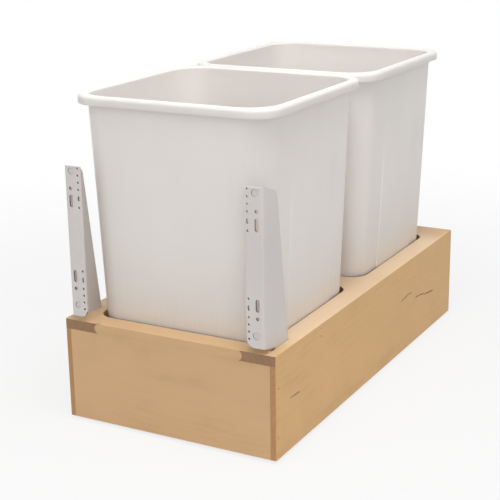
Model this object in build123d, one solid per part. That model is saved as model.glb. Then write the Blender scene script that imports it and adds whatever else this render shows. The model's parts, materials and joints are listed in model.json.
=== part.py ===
from build123d import *
from math import radians, tan
import os

# A pull out bin frame: a maple box with a flush top deck holds two tapered plastic bins,
# two folded sheet brackets carry the cabinet door, and a pair of ball bearing slides inside
# the box's skirt lets it roll out over the cabinet floor.
# Millimetres. +Z is up, -Y is the front, where the door goes and where the frame pulls out to.
# The origin is on the cabinet floor, in the middle of the whole part.

# Bins
bin_rim_width = 258.0
bin_rim_depth = 256.0
bin_rim_corner = 32.0
bin_height = 341.0
bin_draft = 2.4
bin_corner = 38.0
bin_wall = 2.4
bin_base = 3.0
bin_foot_fillet = 7.0
bin_cavity_fillet = 4.6
panel_draft = 2.2
panel_span = 112.0
panel_foot = 9.0
panel_top = 266.0
side_overhang = 7.0
end_overhang = 5.0
lip_height = 11.0
lip_wall = 2.2
lip_top_thickness = 2.6
lip_fillet = 2.0
rim_gap = 9.0

# Wooden frame
rim_side_margin = 11.0
rim_front_margin = 11.5
rim_rear_margin = 27.5
frame_height = 124.0
floor_gap = 4.0
board_thickness = 12.0
deck_thickness = 12.0
bottom_thickness = 9.0
skirt_height = 40.0
groove_depth = 5.0
lap_depth = 6.0
corner_joint_depth = 5.0
ear_length = 47.5
ear_joint_gap = 0.3
corner_easing = 1.5
opening_clearance = 2.5
opening_corner = 21.0

# Brads that pin the boards, drawn as plain shanks
brad_radius = 0.6
brad_length = 18.0
joint_brad_shares = (0.2, 0.68)
deck_brad_shares = (0.21, 0.5, 0.79)

# Door brackets, folded from one sheet
sheet = 2.0
bracket_rise = 187.0
flange_width = 22.0
flange_lift = 7.0
flange_low_corner = 9.0
bend_radius = 3.5
gusset_top_depth = 30.0
gusset_top_fall = 9.0
gusset_foot_depth = 54.0
gusset_top_corner = 12.0
gusset_foot_lift = 1.5
tab_setback = 24.0
tab_panel_gap = 9.0
tab_corner = 6.0
slot_clearance = 0.3
deck_slot_front_room = 10.0
deck_slot_rear_room = 2.0

# Holes in the bracket's flange
door_row_inset = 14.0
door_slot_spacing = 90.0
door_slot_length = 14.5
door_slot_radius = 2.25
door_hole_spacing = 120.0
door_hole_radius = 2.1
pilot_row_inset = 3.2
pilot_radius = 1.3
pilot_first = 38.0
pilot_slot_step = 10.6
pilot_slot_length = 6.0
pilot_step = 8.3
pilot_step_count = 3
dimple_inset = 12.0
dimple_radius = 4.2
dimple_depth = 0.7
dimple_offset = 80.0
pattern_drop = 86.0

# Screws that hold the brackets and the frame's rails
screw_head_radius = 3.6
screw_head_height = 1.2
screw_shank_radius = 1.8
screw_shank_length = 9.0
screw_recess_width = 0.9
screw_recess_span = 3.6
screw_recess_depth = 0.7
bracket_screw_inset = 10.0
bracket_screw_deck_gap = 18.0
bracket_screw_foot_gap = 12.0

# Slides, three members each with two rows of caged balls
slide_width = 12.7
slide_height = 35.0
slide_lift = 5.0
rail_steel = 1.2
member_gap = 0.3
cage_steel = 0.6
cage_strip = 0.8
ball_radius = 1.8
race_clearance = 0.06
race_depth = 0.15
ball_offset = 6.4
rail_reach = 9.4
cage_reach = 9.0
frame_rail_reach = 7.7
rail_fold = 1.0
ball_count = 8
cage_end_margin = 5.0
travel = 500.0
rail_end_gap = 4.0
bumper_length = 5.0
frame_screw_shares = (0.3, 0.6, 0.94)

# Release levers in the frame's rails
lever_thickness = 2.2
lever_half_height = 3.0
lever_front_length = 34.0
lever_rear_length = 24.0
lever_setback = 12.0
lever_pin_radius = 1.5
lever_pin_clearance = 0.05
lever_pin_head_radius = 2.6
lever_pin_head_height = 0.6

# Floor angles, spreaders and rivets
angle_steel = 2.0
angle_foot_width = 28.0
angle_fold_radius = 3.0
angle_height = 38.0
floor_hole_radius = 2.5
floor_hole_inset = 14.0
floor_hole_end_inset = 98.0
spreader_width = 36.0
spreader_thickness = 1.5
spreader_end_inset = 22.0
spreader_setback = 4.0
rivet_radius = 2.0
rivet_head_radius = 3.4
rivet_head_height = 1.1
spreader_rivet_inset = 14.0
spreader_rivet_half_pitch = 9.0
rail_rivet_shares = (0.12, 0.5, 0.88)

# How far a cutting shape runs past what it cuts
overrun = 1.0

# Places worked out from the sizes above
bin_pitch = bin_rim_depth + rim_gap
frame_width = bin_rim_width + 2 * rim_side_margin
frame_depth = 2 * bin_rim_depth + rim_gap + rim_front_margin + rim_rear_margin
half_width = frame_width / 2
front_y = (sheet - frame_depth) / 2
rear_y = front_y + frame_depth
middle_y = (front_y + rear_y) / 2
flange_front_y = front_y - sheet
bins_y = front_y + rim_front_margin + bin_rim_depth + rim_gap / 2
low_z = floor_gap
top_z = low_z + frame_height
deck_z = top_z - deck_thickness
deck_middle_z = (deck_z + top_z) / 2
panel_z = low_z + skirt_height
panel_top_z = panel_z + bottom_thickness
inner_x = half_width - board_thickness
ledge_x = inner_x + lap_depth
board_end_x = inner_x + corner_joint_depth
ear_x = half_width - ear_length
tongue_radius = deck_thickness / 2

body_width = bin_rim_width - 2 * side_overhang
body_depth = bin_rim_depth - 2 * end_overhang

bracket_top_z = top_z + bracket_rise
pattern_z = bracket_top_z - pattern_drop
tab_front_y = front_y + tab_setback
tab_rear_y = front_y + gusset_foot_depth
tab_low_z = panel_top_z + tab_panel_gap
flange_inner_x = inner_x - flange_width

slide_x = inner_x - slide_width
axis_z = slide_lift + slide_height / 2
rail_front_y = front_y + board_thickness + rail_end_gap
rail_rear_y = rear_y - board_thickness
member_rear_y = rail_rear_y - bumper_length - member_gap
rail_half = slide_height / 2
row_gap = 2 * (ball_radius - race_depth)
middle_half = rail_half - rail_steel - row_gap
frame_rail_half = middle_half - rail_steel - row_gap
outer_row = rail_half - rail_steel - row_gap / 2
inner_row = middle_half - rail_steel - row_gap / 2
ball_x = slide_x + ball_offset
outer_cage_x = slide_x + rail_steel + member_gap
middle_x = outer_cage_x + cage_steel + member_gap
inner_cage_x = middle_x + rail_steel + member_gap
frame_web_x = inner_x - rail_steel
cage_front_y = rail_front_y + travel / 4 + cage_end_margin
cage_rear_y = member_rear_y - travel / 4 - cage_end_margin
lever_pivot_y = rail_front_y + lever_setback + lever_front_length
lever_x = frame_web_x - member_gap - lever_thickness
angle_x = slide_x - angle_steel


def block(x0, x1, y0, y1, z0, z1):
    """A box between two opposite corners."""
    corner = (Align.MIN, Align.MIN, Align.MIN)
    return Pos(x0, y0, z0) * Box(x1 - x0, y1 - y0, z1 - z0, align=corner)


def rod_x(x0, x1, y, z, radius):
    """A round bar along X."""
    return Pos((x0 + x1) / 2, y, z) * Rot(0, 90, 0) * Cylinder(radius, x1 - x0)


def rod_y(x, y0, y1, z, radius):
    """A round bar along Y."""
    return Pos(x, (y0 + y1) / 2, z) * Rot(90, 0, 0) * Cylinder(radius, y1 - y0)


def rod_z(x, y, z0, z1, radius):
    """A round bar along Z."""
    return Pos(x, y, (z0 + z1) / 2) * Cylinder(radius, z1 - z0)


def mirrored(shape):
    """The left-hand twin of a right-hand piece."""
    return mirror(shape, about=Plane.YZ)


def both_sides(shapes):
    """Right-hand solids together with their left-hand twins."""
    return shapes + [mirrored(shape) for shape in shapes]


def group(shapes):
    """Separate solids that share one node."""
    return Compound(children=shapes)


def spread(start, end, shares):
    """Places at the given shares of the way from start to end."""
    return [start + (end - start) * share for share in shares]


def bin_slice(height, inset):
    """The bin's rounded outline at a height above its foot, drawn in by the draft and an inset."""
    drawn = inset + (bin_height - height) * tan(radians(bin_draft))
    outline = RectangleRounded(body_width - 2 * drawn, body_depth - 2 * drawn, bin_corner - drawn)
    return Pos(0, 0, height) * outline


def bin_block(low, high, inset):
    """The solid inside the bin's outline from one height up to another, widening with the draft."""
    return extrude(bin_slice(low, inset), high - low, taper=-bin_draft)


def bin_lip():
    """The rolled lip: a flat top that turns down into a skirt."""
    skirt_z = bin_height - lip_height
    outer = RectangleRounded(bin_rim_width, bin_rim_depth, bin_rim_corner)
    lip = Pos(0, 0, skirt_z) * extrude(outer, lip_height)
    lip = fillet(lip.edges().group_by(Axis.Z)[-1], lip_fillet)
    hollow_width = bin_rim_width - 2 * lip_wall
    hollow_depth = bin_rim_depth - 2 * lip_wall
    hollow = RectangleRounded(hollow_width, hollow_depth, bin_rim_corner - lip_wall)
    hollow_height = lip_height - lip_top_thickness + overrun
    return lip - Pos(0, 0, skirt_z - overrun) * extrude(hollow, hollow_height)


def side_panels():
    """The middle of the bin's two side walls, which stands proud of them towards the foot."""
    drawn = (bin_height - panel_top) * tan(radians(bin_draft))
    drawn += (panel_top - panel_foot) * tan(radians(panel_draft))
    foot = Pos(0, 0, panel_foot) * Rectangle(body_width - 2 * drawn, body_depth)
    wedge = extrude(foot, panel_top - panel_foot, taper=-panel_draft)
    half = panel_span / 2
    return wedge & block(-body_width, body_width, -half, half, 0, bin_height)


def bin_body(centre_y):
    """One tapered bin, standing on the bottom panel."""
    wall = bin_block(0, bin_height, 0)
    wall = fillet(wall.edges().group_by(Axis.Z)[0], bin_foot_fillet) + side_panels()
    cavity = bin_block(bin_base, bin_height + overrun, bin_wall)
    cavity = fillet(cavity.edges().group_by(Axis.Z)[0], bin_cavity_fillet)
    shell = bin_lip() + wall - cavity
    return Pos(0, centre_y, panel_top_z) * shell


def brad_places():
    """Ends, rows and heights of the right-hand brads, each as y and z."""
    places = [(front_y + board_thickness / 2, z) for z in spread(low_z, top_z, joint_brad_shares)]
    back_row = spread(panel_top_z, top_z, joint_brad_shares)
    places += [(rear_y - board_thickness / 2, z) for z in back_row]
    places += [(y, deck_middle_z) for y in spread(front_y, rear_y, deck_brad_shares)]
    return places


def brads():
    """Brads driven in from the right side face."""
    return [rod_x(half_width - brad_length, half_width, y, z, brad_radius) for y, z in brad_places()]


def side_board():
    """Right-hand side board, with its laps, grooves and holes."""
    board = block(inner_x, half_width, front_y, rear_y, low_z, top_z)
    board = fillet(board.edges().filter_by(Axis.Z).group_by(Axis.X)[-1], corner_easing)
    over_top = top_z + overrun
    reach = inner_x - overrun
    board -= block(reach, ledge_x, front_y - overrun, rear_y + overrun, deck_z, over_top)
    board -= block(reach, inner_x + groove_depth, front_y - overrun, rear_y + overrun, panel_z, panel_top_z)
    outside = half_width + overrun
    front_end = (front_y - overrun, front_y + board_thickness)
    rear_end = (rear_y - board_thickness, rear_y + overrun)
    board -= block(reach, board_end_x, *front_end, low_z - overrun, over_top)
    board -= block(reach, board_end_x, *rear_end, panel_top_z, over_top)
    for end in (front_end, rear_end):
        board -= block(reach, outside, *end, deck_z, over_top)
    for brad in brads():
        board -= brad
    for y, z in bracket_screw_places():
        board -= rod_x(inner_x - overrun, inner_x + screw_shank_length - sheet, y, z, screw_shank_radius)
    for y in frame_screw_ys():
        board -= rod_x(inner_x - overrun, frame_web_x + screw_shank_length, y, axis_z, screw_shank_radius)
    return board


def ear_notch(side):
    """The room for one deck ear in an end board, with the board's round tongue left standing."""
    x0, x1 = sorted((side * ear_x, side * (board_end_x + overrun)))
    y0, y1 = front_y - overrun, front_y + lap_depth + overrun
    notch = block(x0, x1, y0, y1, deck_z, top_z + overrun)
    return notch - rod_y(side * ear_x, y0, y1, deck_middle_z, tongue_radius)


def end_board(bottom_z):
    """A board across the frame's front, from the given height up to the top."""
    board = block(-board_end_x, board_end_x, front_y, front_y + board_thickness, bottom_z, top_z)
    reach = board_end_x + overrun
    back = front_y + board_thickness + overrun
    board -= block(-reach, reach, front_y + lap_depth, back, deck_z, top_z + overrun)
    for side in (-1, 1):
        board -= ear_notch(side)
    return board


def front_board():
    """The front board, grooved for the bottom panel."""
    board = end_board(low_z)
    reach = board_end_x + overrun
    inside = front_y + board_thickness
    board -= block(-reach, reach, inside - groove_depth, inside + overrun, panel_z, panel_top_z)
    for brad in both_sides(brads()):
        board -= brad
    return board


def back_board():
    """The back board, which stands on the bottom panel, clear above the slides."""
    board = mirror(end_board(panel_top_z), about=Plane.XZ.offset(-middle_y))
    for brad in both_sides(brads()):
        board -= brad
    return board


def bottom_panel():
    """The panel that the bins stand on, held in grooves and run under the back board."""
    edge = inner_x + groove_depth
    return block(-edge, edge, front_y + board_thickness - groove_depth, rear_y, panel_z, panel_top_z)


def deck_ear(side):
    """A front corner of the deck that laps over the boards and shows in the front face."""
    x0, x1 = sorted((side * (ear_x + ear_joint_gap), side * half_width))
    ear = block(x0, x1, front_y, front_y + lap_depth + overrun, deck_z, top_z)
    x2, x3 = sorted((side * (ledge_x - overrun), side * half_width))
    ear += block(x2, x3, front_y, front_y + board_thickness, deck_z, top_z)
    outer_corner = (side * half_width, front_y, deck_middle_z)
    ear = fillet(ear.edges().filter_by(Axis.Z).sort_by_distance(outer_corner)[0], corner_easing)
    scoop_radius = tongue_radius + ear_joint_gap
    return ear - rod_y(side * ear_x, front_y - overrun, front_y + lap_depth, deck_middle_z, scoop_radius)


def deck_openings():
    """The two round cornered holes that the bins drop through."""
    drawn = (bin_height + panel_top_z - top_z) * tan(radians(bin_draft)) - opening_clearance
    outline = RectangleRounded(body_width - 2 * drawn, body_depth - 2 * drawn, opening_corner)
    cutter = Pos(0, 0, deck_z - overrun) * extrude(outline, deck_thickness + 2 * overrun)
    return [Pos(0, bins_y + half * bin_pitch / 2, 0) * cutter for half in (-1, 1)]


def deck_slot():
    """The narrow right-hand slot that the bracket's tab passes down through."""
    x0, x1 = inner_x - sheet - slot_clearance, inner_x + slot_clearance
    y0, y1 = tab_front_y - deck_slot_front_room, tab_rear_y + deck_slot_rear_room
    return block(x0, x1, y0, y1, deck_z - overrun, top_z + overrun)


def top_deck():
    """The flush deck with its ears, bin openings and bracket slots."""
    deck = block(-ledge_x, ledge_x, front_y + lap_depth, rear_y - lap_depth, deck_z, top_z)
    for side in (-1, 1):
        ear = deck_ear(side)
        deck += ear
        deck += mirror(ear, about=Plane.XZ.offset(-middle_y))
    for cutter in deck_openings() + both_sides([deck_slot()] + brads()):
        deck -= cutter
    return deck


def flange_slot(x, z, length, radius):
    """An upright slot through the bracket's flange."""
    half = length / 2 - radius
    y0, y1 = flange_front_y - overrun, front_y + overrun
    slot = block(x - radius, x + radius, y0, y1, z - half, z + half)
    for end in (-half, half):
        slot += rod_y(x, y0, y1, z + end, radius)
    return slot


def flange_holes():
    """Everything cut through or into the right-hand bracket's flange."""
    door_x = flange_inner_x + door_row_inset
    pilot_x = flange_inner_x + pilot_row_inset
    dimple_x = flange_inner_x + dimple_inset
    y0, y1 = flange_front_y - overrun, front_y + overrun
    pilot_slot = pilot_first + pilot_slot_step
    pilots = [pilot_first]
    pilots += [pilot_slot + pilot_slot_step + index * pilot_step for index in range(pilot_step_count + 1)]
    cuts = []
    for side in (-1, 1):
        slot_z = pattern_z + side * door_slot_spacing / 2
        cuts.append(flange_slot(door_x, slot_z, door_slot_length, door_slot_radius))
        cuts.append(rod_y(door_x, y0, y1, pattern_z + side * door_hole_spacing / 2, door_hole_radius))
        cuts.append(flange_slot(pilot_x, pattern_z + side * pilot_slot, pilot_slot_length, pilot_radius))
        cuts += [rod_y(pilot_x, y0, y1, pattern_z + side * pilot, pilot_radius) for pilot in pilots]
        dimple_z = pattern_z + side * dimple_offset
        cuts.append(rod_y(dimple_x, y0, flange_front_y + dimple_depth, dimple_z, dimple_radius))
    return cuts


def gusset_outline():
    """The bracket's side view, as a face in Y and Z."""
    flange_low_z = top_z + flange_lift
    points = [
        (flange_front_y, flange_low_z),
        (tab_front_y, top_z + gusset_foot_lift),
        (tab_front_y, tab_low_z),
        (tab_rear_y, tab_low_z),
        (tab_rear_y, top_z),
        (front_y + gusset_top_depth, bracket_top_z - gusset_top_fall),
        (front_y, bracket_top_z),
        (flange_front_y, bracket_top_z),
    ]
    face = make_face(Polyline(*points, close=True))
    top_rear = face.vertices().sort_by_distance((*points[5], 0))[0]
    face = fillet(top_rear, gusset_top_corner)
    for y in (tab_front_y, tab_rear_y):
        foot = face.vertices().sort_by_distance((y, tab_low_z, 0))[0]
        face = fillet(foot, tab_corner)
    return face


def door_bracket():
    """The right-hand door bracket: a flange for the door and a gusset that passes down into the frame."""
    plan = [
        (flange_inner_x, flange_front_y),
        (inner_x, flange_front_y),
        (inner_x, tab_rear_y + overrun),
        (inner_x - sheet, tab_rear_y + overrun),
        (inner_x - sheet, front_y),
        (flange_inner_x, front_y),
    ]
    angle = make_face(Polyline(*plan, close=True))
    angle = fillet(angle.vertices().sort_by_distance((inner_x, flange_front_y, 0))[0], bend_radius)
    angle = fillet(angle.vertices().sort_by_distance((inner_x - sheet, front_y, 0))[0], bend_radius - sheet)
    folded = Pos(0, 0, tab_low_z) * extrude(angle, bracket_top_z - tab_low_z)
    side_view = extrude(Plane.YZ * gusset_outline(), inner_x + overrun)
    bracket = folded & side_view
    corner_z = top_z + flange_lift + flange_low_corner
    corner_x = flange_inner_x + flange_low_corner
    y0, y1 = flange_front_y - overrun, front_y + overrun
    corner = block(flange_inner_x - overrun, corner_x, y0, y1, top_z, corner_z)
    bracket -= corner - rod_y(corner_x, y0, y1, corner_z, flange_low_corner)
    for cut in flange_holes():
        bracket -= cut
    for y, z in bracket_screw_places():
        bracket -= rod_x(inner_x - sheet - overrun, inner_x + overrun, y, z, screw_shank_radius)
    return bracket


def bracket_screw_places():
    """Where the right-hand bracket is screwed to the side board, as y and z."""
    upper = (tab_front_y + bracket_screw_inset, deck_z - bracket_screw_deck_gap)
    lower = (tab_rear_y - bracket_screw_inset, tab_low_z + bracket_screw_foot_gap)
    return [upper, lower]


def frame_screw_ys():
    """Where the frame rail is screwed to the side board."""
    return spread(rail_front_y, member_rear_y, frame_screw_shares)


def screw(head_x, y, z):
    """A cross recessed screw along X: the head's underside is at head_x and the shank points to +X."""
    head = rod_x(head_x - screw_head_height, head_x, y, z, screw_head_radius)
    face_x = head_x - screw_head_height
    for width, height in ((screw_recess_width, screw_recess_span), (screw_recess_span, screw_recess_width)):
        x0, x1 = face_x - overrun, face_x + screw_recess_depth
        head -= block(x0, x1, y - width / 2, y + width / 2, z - height / 2, z + height / 2)
    return head + rod_x(head_x, head_x + screw_shank_length, y, z, screw_shank_radius)


def bracket_screws():
    """Two screws in each bracket tab."""
    return group(both_sides([screw(inner_x - sheet, y, z) for y, z in bracket_screw_places()]))


def frame_rail_screws():
    """The screws that hold the frame rails."""
    return group(both_sides([screw(frame_web_x, y, axis_z) for y in frame_screw_ys()]))


def raceways():
    """The long grooves that the four ball rows run in."""
    radius = ball_radius + race_clearance
    rows = (outer_row, -outer_row, inner_row, -inner_row)
    y0, y1 = rail_front_y - overrun, rail_rear_y + overrun
    return [rod_y(ball_x, y0, y1, axis_z + row, radius) for row in rows]


def channel(web_x, open_x, half_height, y0, y1):
    """A steel channel lying on its side, with its web at one edge and folded corners."""
    x0, x1 = sorted((web_x, open_x))
    bar = block(x0, x1, y0, y1, axis_z - half_height, axis_z + half_height)
    web_edges = bar.edges().filter_by(Axis.Y).group_by(Axis.X)
    bar = fillet(web_edges[0] if web_x < open_x else web_edges[-1], rail_fold)
    inside_half = half_height - rail_steel
    inside_x = web_x + rail_steel if web_x < open_x else web_x - rail_steel
    past_x = open_x + overrun if web_x < open_x else open_x - overrun
    x2, x3 = sorted((inside_x, past_x))
    bar -= block(x2, x3, y0 - overrun, y1 + overrun, axis_z - inside_half, axis_z + inside_half)
    for race in raceways():
        bar -= race
    return bar


def rail_rivet_ys():
    """Where the cabinet rail is riveted to its floor angle."""
    return spread(rail_front_y, rail_rear_y, rail_rivet_shares)


def cabinet_rail():
    """The fixed member of the right-hand slide."""
    rail = channel(slide_x, slide_x + rail_reach, rail_half, rail_front_y, rail_rear_y)
    for y in rail_rivet_ys():
        rail -= rod_x(slide_x - overrun, outer_cage_x, y, axis_z, rivet_radius)
    return rail


def middle_rail():
    """The middle member, which travels half as far as the frame."""
    return channel(middle_x, slide_x + rail_reach, middle_half, rail_front_y, member_rear_y)


def frame_rail():
    """The member that is screwed to the side board."""
    rail = channel(inner_x, inner_x - frame_rail_reach, frame_rail_half, rail_front_y, member_rear_y)
    for y in frame_screw_ys():
        rail -= rod_x(frame_web_x - overrun, inner_x + overrun, y, axis_z, screw_shank_radius)
    return rail - rod_x(frame_web_x - overrun, inner_x + overrun, lever_pivot_y, axis_z, lever_pin_radius)


def ball_ys():
    """Places of the balls along one cage."""
    pitch = (cage_rear_y - cage_front_y) / ball_count
    return [cage_front_y + (index + 1 / 2) * pitch for index in range(ball_count)]


def ball_cage(web_x, row):
    """A thin strip folded round both ball rows, with a hole for each ball."""
    strip_half = row + cage_strip / 2
    open_x = slide_x + cage_reach
    cage = block(web_x, open_x, cage_front_y, cage_rear_y, axis_z - strip_half, axis_z + strip_half)
    inside = strip_half - cage_strip
    past_x = open_x + overrun
    y0, y1 = cage_front_y - overrun, cage_rear_y + overrun
    cage -= block(web_x + cage_steel, past_x, y0, y1, axis_z - inside, axis_z + inside)
    for y in ball_ys():
        for side in (-1, 1):
            z0, z1 = axis_z + side * row - cage_strip, axis_z + side * row + cage_strip
            cage -= rod_z(ball_x, y, z0, z1, ball_radius + race_clearance)
    return cage


def ball_row_pair(row):
    """The balls of one cage, above and below the slide's axis."""
    return [Pos(ball_x, y, axis_z + side * row) * Sphere(ball_radius) for y in ball_ys() for side in (-1, 1)]


def rail_bumper():
    """The soft stop at the back of the cabinet rail."""
    stop_half = rail_half - rail_steel
    x0, x1 = slide_x + rail_steel, slide_x + rail_reach
    return block(x0, x1, rail_rear_y - bumper_length, rail_rear_y, axis_z - stop_half, axis_z + stop_half)


def release_lever():
    """The lever in the frame rail that frees it from the slide."""
    y0, y1 = lever_pivot_y - lever_front_length, lever_pivot_y + lever_rear_length
    z0, z1 = axis_z - lever_half_height, axis_z + lever_half_height
    lever = block(lever_x, lever_x + lever_thickness, y0 + lever_half_height, y1 - lever_half_height, z0, z1)
    for y in (y0 + lever_half_height, y1 - lever_half_height):
        lever += rod_x(lever_x, lever_x + lever_thickness, y, axis_z, lever_half_height)
    bore = lever_pin_radius + lever_pin_clearance
    return lever - rod_x(lever_x - overrun, lever_x + lever_thickness + overrun, lever_pivot_y, axis_z, bore)


def lever_pins():
    """The riveted pins that the levers turn on."""
    head_x = lever_x - member_gap
    pin = rod_x(head_x, inner_x, lever_pivot_y, axis_z, lever_pin_radius)
    pin += rod_x(head_x - lever_pin_head_height, head_x, lever_pivot_y, axis_z, lever_pin_head_radius)
    return group(both_sides([pin]))


def spreader_centres():
    """The middles of the front and rear spreaders along Y."""
    reach = spreader_end_inset + spreader_width / 2
    return [rail_front_y + reach, rail_rear_y - reach]


def spreader_rivet_places():
    """Where the spreaders are riveted to the right-hand foot, as x and y."""
    x = angle_x - spreader_rivet_inset
    pitch = spreader_rivet_half_pitch
    return [(x, y + side * pitch) for y in spreader_centres() for side in (-1, 1)]


def floor_angle():
    """The right-hand angle that carries the cabinet rail and is screwed to the cabinet floor."""
    toe_x = slide_x - angle_foot_width
    y0, y1 = rail_front_y, rail_rear_y
    angle = block(toe_x, slide_x, y0, y1, 0, angle_height)
    fold = angle.edges().filter_by(Axis.Y).sort_by_distance((slide_x, middle_y, 0))[0]
    angle = fillet(fold, angle_fold_radius)
    angle -= block(toe_x - overrun, angle_x, y0 - overrun, y1 + overrun, angle_steel, angle_height + overrun)
    for y in rail_rivet_ys():
        angle -= rod_x(angle_x - overrun, slide_x + overrun, y, axis_z, rivet_radius)
    for x, y in spreader_rivet_places():
        angle -= rod_z(x, y, -overrun, angle_steel + overrun, rivet_radius)
    for y in (y0 + floor_hole_end_inset, y1 - floor_hole_end_inset):
        angle -= rod_z(angle_x - floor_hole_inset, y, -overrun, angle_steel + overrun, floor_hole_radius)
    return angle


def spreader(centre_y):
    """A strip that ties the two floor angles together."""
    reach = angle_x - spreader_setback
    half = spreader_width / 2
    top = angle_steel + spreader_thickness
    strip = block(-reach, reach, centre_y - half, centre_y + half, angle_steel, top)
    for x, y in spreader_rivet_places():
        for side in (-1, 1):
            strip -= rod_z(side * x, y, angle_steel - overrun, top + overrun, rivet_radius)
    return strip


def spreader_rivets():
    """Rivets that hold the spreaders to the feet."""
    top = angle_steel + spreader_thickness
    rivets = []
    for x, y in spreader_rivet_places():
        head = rod_z(x, y, top, top + rivet_head_height, rivet_head_radius)
        rivets.append(head + rod_z(x, y, 0, top, rivet_radius))
    return group(both_sides(rivets))


def rail_rivets():
    """Rivets that hold the cabinet rails to the floor angles."""
    rivets = []
    for y in rail_rivet_ys():
        shank = rod_x(angle_x, slide_x + rail_steel, y, axis_z, rivet_radius)
        rivets.append(shank + rod_x(angle_x - rivet_head_height, angle_x, y, axis_z, rivet_head_radius))
    return group(both_sides(rivets))


def pair(name, shape):
    """The right-hand piece and its left-hand twin, under their own names."""
    return {"right_" + name: shape, "left_" + name: mirrored(shape)}


def parts():
    """Every node of the part by name."""
    front_centre, rear_centre = (bins_y - bin_pitch / 2, bins_y + bin_pitch / 2)
    front_spread_y, rear_spread_y = spreader_centres()
    nodes = {
        "front_board": front_board(),
        "back_board": back_board(),
        "bottom_panel": bottom_panel(),
        "top_deck": top_deck(),
        "frame_brads": group(both_sides(brads())),
        "bracket_screws": bracket_screws(),
        "frame_rail_screws": frame_rail_screws(),
        "front_bin": bin_body(front_centre),
        "rear_bin": bin_body(rear_centre),
        "lever_pins": lever_pins(),
        "front_spreader": spreader(front_spread_y),
        "rear_spreader": spreader(rear_spread_y),
        "spreader_rivets": spreader_rivets(),
        "rail_rivets": rail_rivets(),
    }
    nodes |= pair("side_board", side_board())
    nodes |= pair("door_bracket", door_bracket())
    nodes |= pair("cabinet_rail", cabinet_rail())
    nodes |= pair("middle_rail", middle_rail())
    nodes |= pair("frame_rail", frame_rail())
    nodes |= pair("outer_ball_cage", ball_cage(outer_cage_x, outer_row))
    nodes |= pair("inner_ball_cage", ball_cage(inner_cage_x, inner_row))
    nodes |= pair("rail_bumper", rail_bumper())
    nodes |= pair("release_lever", release_lever())
    nodes |= pair("floor_angle", floor_angle())
    for cage, row in (("outer", outer_row), ("inner", inner_row)):
        balls = ball_row_pair(row)
        nodes["right_" + cage + "_balls"] = group(balls)
        nodes["left_" + cage + "_balls"] = group([mirrored(ball) for ball in balls])
    return nodes


os.makedirs("parts", exist_ok=True)
for node, shape in parts().items():
    export_step(shape, "parts/" + node + ".step")
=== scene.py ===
import json
import math

import bmesh
import bpy
from mathutils import Matrix, Vector


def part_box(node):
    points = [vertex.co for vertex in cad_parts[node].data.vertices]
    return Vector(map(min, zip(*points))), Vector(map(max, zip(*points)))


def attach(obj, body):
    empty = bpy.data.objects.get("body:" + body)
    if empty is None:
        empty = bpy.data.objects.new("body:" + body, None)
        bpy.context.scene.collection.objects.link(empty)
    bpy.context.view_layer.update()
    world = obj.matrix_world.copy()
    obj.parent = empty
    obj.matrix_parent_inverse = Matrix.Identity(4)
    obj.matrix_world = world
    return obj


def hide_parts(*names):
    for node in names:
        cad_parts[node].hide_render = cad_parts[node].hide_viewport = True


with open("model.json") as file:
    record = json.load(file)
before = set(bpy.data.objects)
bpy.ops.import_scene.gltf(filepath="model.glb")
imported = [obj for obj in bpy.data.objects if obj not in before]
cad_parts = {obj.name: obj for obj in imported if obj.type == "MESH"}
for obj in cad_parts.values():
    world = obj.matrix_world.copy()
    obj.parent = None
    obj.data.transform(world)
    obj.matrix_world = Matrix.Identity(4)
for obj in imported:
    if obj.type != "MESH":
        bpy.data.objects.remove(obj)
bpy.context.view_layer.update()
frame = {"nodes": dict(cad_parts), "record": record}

# Looks for a pull out bin frame: lacquered maple box, two white moulded bins,
# powder coated door brackets and zinc plated ball bearing slides.
# Metres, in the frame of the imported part: +Z up, -Y the front.

bpy.context.scene.view_settings.view_transform = "Standard"
MM = 0.001


# Node trees

class Value:
    """A socket that carries a number, so that node maths reads as plain sums."""

    def __init__(self, owner, socket):
        self.owner = owner
        self.socket = socket

    def maths(self, operation, *others):
        sockets = dict(enumerate((self, *others)))
        return self.owner.node("ShaderNodeMath", {"operation": operation}, sockets)

    def other(self, name):
        """Another output of the same node."""
        return Value(self.owner, self.socket.node.outputs[name])

    def __add__(self, other):
        return self.maths("ADD", other)

    __radd__ = __add__

    def __mul__(self, other):
        return self.maths("MULTIPLY", other)

    __rmul__ = __mul__

    def __sub__(self, other):
        return self.maths("SUBTRACT", other)

    def __rsub__(self, other):
        return self.owner.node("ShaderNodeMath", {"operation": "SUBTRACT"}, {0: other, 1: self})

    def __truediv__(self, other):
        return self.maths("DIVIDE", other)

    def __pow__(self, other):
        return self.maths("POWER", other)

    def __gt__(self, other):
        return self.maths("GREATER_THAN", other)

    def __lt__(self, other):
        return self.maths("LESS_THAN", other)

    def __abs__(self):
        return self.maths("ABSOLUTE")

    def wave(self):
        return self.maths("SINE")

    def larger(self, other):
        return self.maths("MAXIMUM", other)

    def rise(self, start, end, low=0.0, high=1.0):
        """A smooth step from low to high as the value goes from start to end."""
        sockets = {"Value": self, "From Min": start, "From Max": end, "To Min": low, "To Max": high}
        return self.owner.node("ShaderNodeMapRange", {"interpolation_type": "SMOOTHSTEP"}, sockets)


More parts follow.
